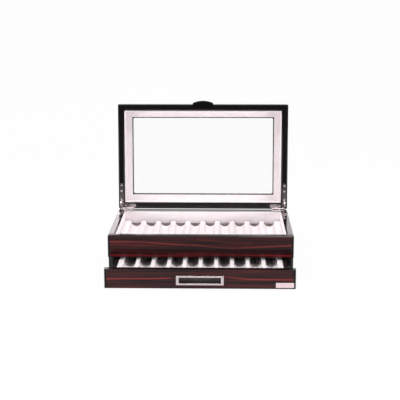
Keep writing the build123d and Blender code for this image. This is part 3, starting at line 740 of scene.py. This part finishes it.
def screwHead(given):
    # turned shape along Z, its head's edge at 0, with the cross pressed into a fine disc
    work = bmesh.new()
    count, rings = given["count"], given["rings"]
    headR, shankR, lip = given["headR"], given["shankR"], given["lip"]
    halfL, halfW = given["crossL"] / 2, given["crossW"] / 2
    angles = [2 * pi * i / count for i in range(count)]
    loops = []
    for k in range(1, rings + 1):
        r = headR * k / rings
        loop = []
        for a in angles:
            x, y = r * cos(a), r * sin(a)
            z = given["dome"] * (1 - (r / headR) ** 2)
            u, v = min(abs(x), abs(y)), max(abs(x), abs(y))
            if u < halfW and v < halfL:
                z -= given["crossDeep"] * min(1.0, (halfL - v) / given["crossRamp"])
            loop.append(work.verts.new((x * mm, y * mm, z * mm)))
        loops.append(loop)
    middle = work.verts.new((0.0, 0.0, (given["dome"] - given["crossDeep"] - given["crossMid"]) * mm))
    shankTop, shankEnd = -(headR - shankR) - lip, -given["length"] + given["tipL"]
    for r, z in ((headR, -lip), (shankR, shankTop), (shankR, shankEnd)):
        loops.append([work.verts.new((r * cos(a) * mm, r * sin(a) * mm, z * mm)) for a in angles])
    tip = work.verts.new((0.0, 0.0, -given["length"] * mm))
    for i in range(count):
        j = (i + 1) % count
        work.faces.new((middle, loops[0][i], loops[0][j]))
        for inner, outer in zip(loops, loops[1:]):
            work.faces.new((inner[i], outer[i], outer[j], inner[j]))
        work.faces.new((tip, loops[-1][j], loops[-1][i]))
    return holderOf("screwHead", work)


def screwTree(name):
    # one head on every mark, each turned by its own angle
    inputs = {"Marks": "Geometry", "Head": "Object", "Seed": "Int", "Metal": "Material"}
    tree, given = startTree(name, inputs, "Screws")
    head = addNode(tree, "GeometryNodeObjectInfo", {"Object": given["Head"]})
    turn = {"Seed": given["Seed"], 2: 0.0, 3: pi / 2}
    turn = addNode(tree, "FunctionNodeRandomValue", turn, data_type="FLOAT")
    angle = addNode(tree, "ShaderNodeCombineXYZ", {2: turn[1]})
    placed = {"Points": given["Marks"], "Instance": head["Geometry"], "Rotation": angle[0]}
    placed = addNode(tree, "GeometryNodeInstanceOnPoints", placed)
    real = addNode(tree, "GeometryNodeRealizeInstances", {0: placed[0]})
    metal = addNode(tree, "GeometryNodeSetMaterial", {"Geometry": real[0], "Material": given["Metal"]})
    addNode(tree, "NodeGroupOutput", {0: metal[0]})
    return tree


def makeScrews(name, node, body, given, placing, tree, seed):
    head = screwHead(given)
    marks = bmesh.new()
    for side in (-1, 1):
        for x, y in given["marks"]:
            marks.verts.new((side * x * mm, y * mm, 0.0))
    values = {"Head": head, "Seed": seed, "Metal": nickelScrewPaintedHighlight}
    mesh = grown(holderOf(name + "Marks", marks), name, tree, values)
    bpy.data.objects.remove(head)
    mesh.transform(placing)
    newPiece(name, finishMesh(mesh, 30.0), body, nickelScrewPaintedHighlight, [node])


screwRow = screwTree("screwRow")
rimZ, gap = 84.2 * mm, 0.9 * mm  # the case's rim, and the room between it and the shut lid
baseMarks = Matrix.Translation((0.0, hinge.y, rimZ))
lidMarks = lidTurn @ Matrix.Translation((0.0, hinge.y, rimZ + gap)) @ Matrix.Rotation(pi, 4, "Y")
makeScrews("baseHingeScrews", "base_hinge_screws", "cabinet", screwSet, baseMarks, screwRow, 3)
makeScrews("lidHingeScrews", "lid_hinge_screws", "lid", screwSet, lidMarks, screwRow, 5)
print("screws made")


# bare plate on the drawer front, lower right
plateSet = {
    "width": 33.0,
    "height": 9.5,
    "thick": 0.5,
    "right": 3.3,  # from the front's right end
    "low": 2.2,  # from its lower edge
    "corner": 0.7,
    "edge": 0.15,
    "steps": 4,  # along a corner
}


def makePlate(given):
    low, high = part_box("drawer_front")
    centreX = high.x - (given["right"] + given["width"] / 2) * mm
    centreZ = low.z + (given["low"] + given["height"] / 2) * mm
    thick, edge, steps = given["thick"], given["edge"], given["steps"]
    work = bmesh.new()
    loops = []
    for inset, out in ((0.0, 0.0), (0.0, thick - edge), (edge, thick)):
        w, h, r = given["width"] / 2 - inset, given["height"] / 2 - inset, given["corner"] - inset
        corners = ((w - r, h - r, 0), (r - w, h - r, 90), (r - w, r - h, 180), (w - r, r - h, 270))
        loop = []
        for cx, cz, start in corners:
            for i in range(steps + 1):
                a = radians(start + 90 * i / steps)
                place = (centreX + (cx + r * cos(a)) * mm, low.y - out * mm, centreZ + (cz + r * sin(a)) * mm)
                loop.append(work.verts.new(place))
        loops.append(loop)
    count = len(loops[0])
    for inner, outer in zip(loops, loops[1:]):
        for i in range(count):
            j = (i + 1) % count
            work.faces.new((inner[i], inner[j], outer[j], outer[i]))
    work.faces.new(loops[-1])
    work.faces.new(loops[0][::-1])
    plateMetal = makeNickel("satinNickelPlate", "#FBECEE", 0.75, worn="#F3E2E5")
    newPiece("barePlate", finishMesh(meshOf("barePlate", work), 30.0), "drawer", plateMetal)


makePlate(plateSet)
print("plate made")


# stage: pale floor that runs up into a backdrop, soft studio light; sizes in metres
stageSet = {
    "front": -1.0,
    "back": 2.6,
    "half": 3.2,
    "curve": 0.5,
    "steps": 8,
    "high": 2.4,
    "plain": 0.96,  # share of the floor that is plain white to the camera, the rest takes the shadow
}


def seenPlain(tree, kinds):
    # 1 for these kinds of ray, but only before light has bounced off a matt surface, so that the
    # white behind the object doesn't light what is under the glass
    ray = addNode(tree, "ShaderNodeLightPath")
    seen = ray[kinds[0]]
    for kind in kinds[1:]:
        seen = addNode(tree, "ShaderNodeMath", {0: seen, 1: ray[kind]}, operation="MAXIMUM")[0]
    direct = addNode(tree, "ShaderNodeMath", {0: ray["Diffuse Depth"], 1: 0.5}, operation="LESS_THAN")
    return addNode(tree, "ShaderNodeMath", {0: seen, 1: direct[0]}, operation="MULTIPLY")[0]


# White seamless background paper: matt, with the object's soft shadow on it.
def makePaper(name, plain):
    material = bpy.data.materials.new(name)
    material.use_nodes = True
    tree = material.node_tree
    tree.nodes.clear()
    paper = addNode(tree, "ShaderNodeBsdfDiffuse", {0: linear("#F4F2F2")})
    white = addNode(tree, "ShaderNodeEmission", {0: linear("#FFFFFF"), 1: 1.0})
    seen = seenPlain(tree, ["Is Glossy Ray", "Is Transmission Ray", "Is Camera Ray"])
    share = addNode(tree, "ShaderNodeMath", {0: seen, 1: plain}, operation="MULTIPLY")
    both = addNode(tree, "ShaderNodeMixShader", {0: share[0], 1: paper[0], 2: white[0]})
    addNode(tree, "ShaderNodeOutputMaterial", {0: both[0]})
    return material


def makeFloor(given):
    work = bmesh.new()
    back, curve, steps = given["back"], given["curve"], given["steps"]
    path = [(given["front"], 0.0), (back - curve, 0.0)]
    for i in range(1, steps + 1):
        a = pi / 2 * i / steps
        path.append((back - curve + curve * sin(a), curve * (1 - cos(a))))
    path.append((back, given["high"]))
    sides = [[work.verts.new((x, y, z)) for y, z in path] for x in (-given["half"], given["half"])]
    for i in range(len(path) - 1):
        work.faces.new((sides[0][i], sides[1][i], sides[1][i + 1], sides[0][i + 1]))
    floor = bpy.data.objects.new("studioFloor", meshOf("studioFloor", work))
    scene.collection.objects.link(floor)
    floor.data.materials.append(makePaper("whitePaperSweep", given["plain"]))


makeFloor(stageSet)

worldSet = {
    "tint": "#FFFAFB",
    "fill": 0.55,  # strength of the light room in front of the camera and above
    "dark": 0.02,  # strength of the dark room behind the camera
    "lean": (0.7, 1.4),  # how much a direction's Y and Z count towards the light room
    "fade": (-0.35, 0.7),  # from where to where the dark room turns light
}


def makeWorld(given):
    world = bpy.data.worlds.new("studio")
    scene.world = world
    world.use_nodes = True
    tree = world.node_tree
    tree.nodes.clear()
    ahead, above = given["lean"]
    parts = addNode(tree, "ShaderNodeSeparateXYZ", {0: addNode(tree, "ShaderNodeTexCoord")["Generated"]})
    tilt = addNode(tree, "ShaderNodeMath", {0: parts[1], 1: ahead}, operation="MULTIPLY")
    tilt = addNode(tree, "ShaderNodeMath", {0: parts[2], 1: above, 2: tilt[0]}, operation="MULTIPLY_ADD")
    level = {"Value": tilt[0], "From Min": given["fade"][0], "From Max": given["fade"][1]}
    level.update({"To Min": given["dark"], "To Max": given["fill"]})
    level = addNode(tree, "ShaderNodeMapRange", level, interpolation_type="SMOOTHSTEP")
    dim = addNode(tree, "ShaderNodeBackground", {0: linear(given["tint"]), 1: level[0]})
    white = addNode(tree, "ShaderNodeBackground", {0: linear("#FFFFFF"), 1: 1.0})
    seen = seenPlain(tree, ["Is Camera Ray", "Is Transmission Ray"])
    both = addNode(tree, "ShaderNodeMixShader", {0: seen, 1: dim[0], 2: white[0]})
    addNode(tree, "ShaderNodeOutputWorld", {0: both[0]})


makeWorld(worldSet)

# softboxes: place, point aimed at, width and height, watts, colour
warm, pink = "#FFF9FA", "#FFEDF6"
lamps = {
    "topMiddle": ((-0.05, -0.42, 2.15), (0, -0.05, 0.05), (0.8, 0.4), 10.6, warm),
    "topLeft": ((-0.85, -0.2, 2.0), (0, -0.05, 0.05), (0.7, 0.4), 7.5, warm),
    "topRight": ((0.85, -0.2, 2.0), (0, -0.05, 0.05), (0.7, 0.4), 7.5, warm),
    "sideLeft": ((-2.1, -0.95, 0.32), (0, 0, 0.18), (0.8, 0.36), 25.0, warm),
    "sideRight": ((2.1, -0.95, 0.32), (0, 0, 0.18), (0.8, 0.36), 25.0, warm),
    "rimLeft": ((-0.95, 2.2, 0.78), (-0.1, 0, 0.1), (1.5, 0.55), 4.3, pink),
    "rimRight": ((0.75, 2.2, 0.78), (0.1, 0, 0.1), (1.2, 0.55), 1.3, pink),
}
for name, (place, aim, size, watts, tint) in lamps.items():
    data = bpy.data.lights.new(name, "AREA")
    data.shape = "RECTANGLE"
    data.size, data.size_y = size
    data.energy = watts
    data.color = linear(tint)[:3]
    lamp = bpy.data.objects.new(name, data)
    scene.collection.objects.link(lamp)
    lamp.location = place
    lamp.rotation_euler = (Vector(aim) - Vector(place)).to_track_quat("-Z", "Y").to_euler()
    lamp.visible_camera = False
print("stage lit")
